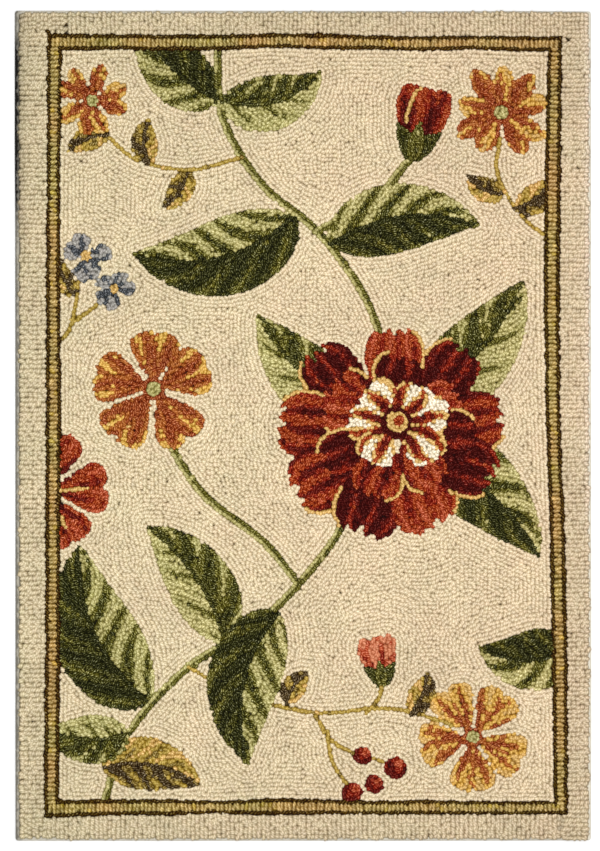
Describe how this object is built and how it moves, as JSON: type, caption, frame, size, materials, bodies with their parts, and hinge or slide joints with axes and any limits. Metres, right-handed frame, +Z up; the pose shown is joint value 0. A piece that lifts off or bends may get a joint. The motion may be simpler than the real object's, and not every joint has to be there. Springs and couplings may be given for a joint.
{
  "type": "hooked rug",
  "caption": "Flat rectangular scatter rug of short hooked loops on a foundation cloth, with a plain border, a striped frame line and a flowered field.",
  "frame": {"origin": "middle of the rug's underside, on the surface it lies on", "axes": "+X across the rug's width, +Y along its length towards the top of the picture, +Z up through the pile"},
  "size_m": [0.5628, 0.8108, 0.0082],
  "materials": {
    "wool_pile": "matt wool loops"
  },
  "bodies": {
    "root": {"hooked_rug": "wool_pile"}
  },
  "joints": []
}
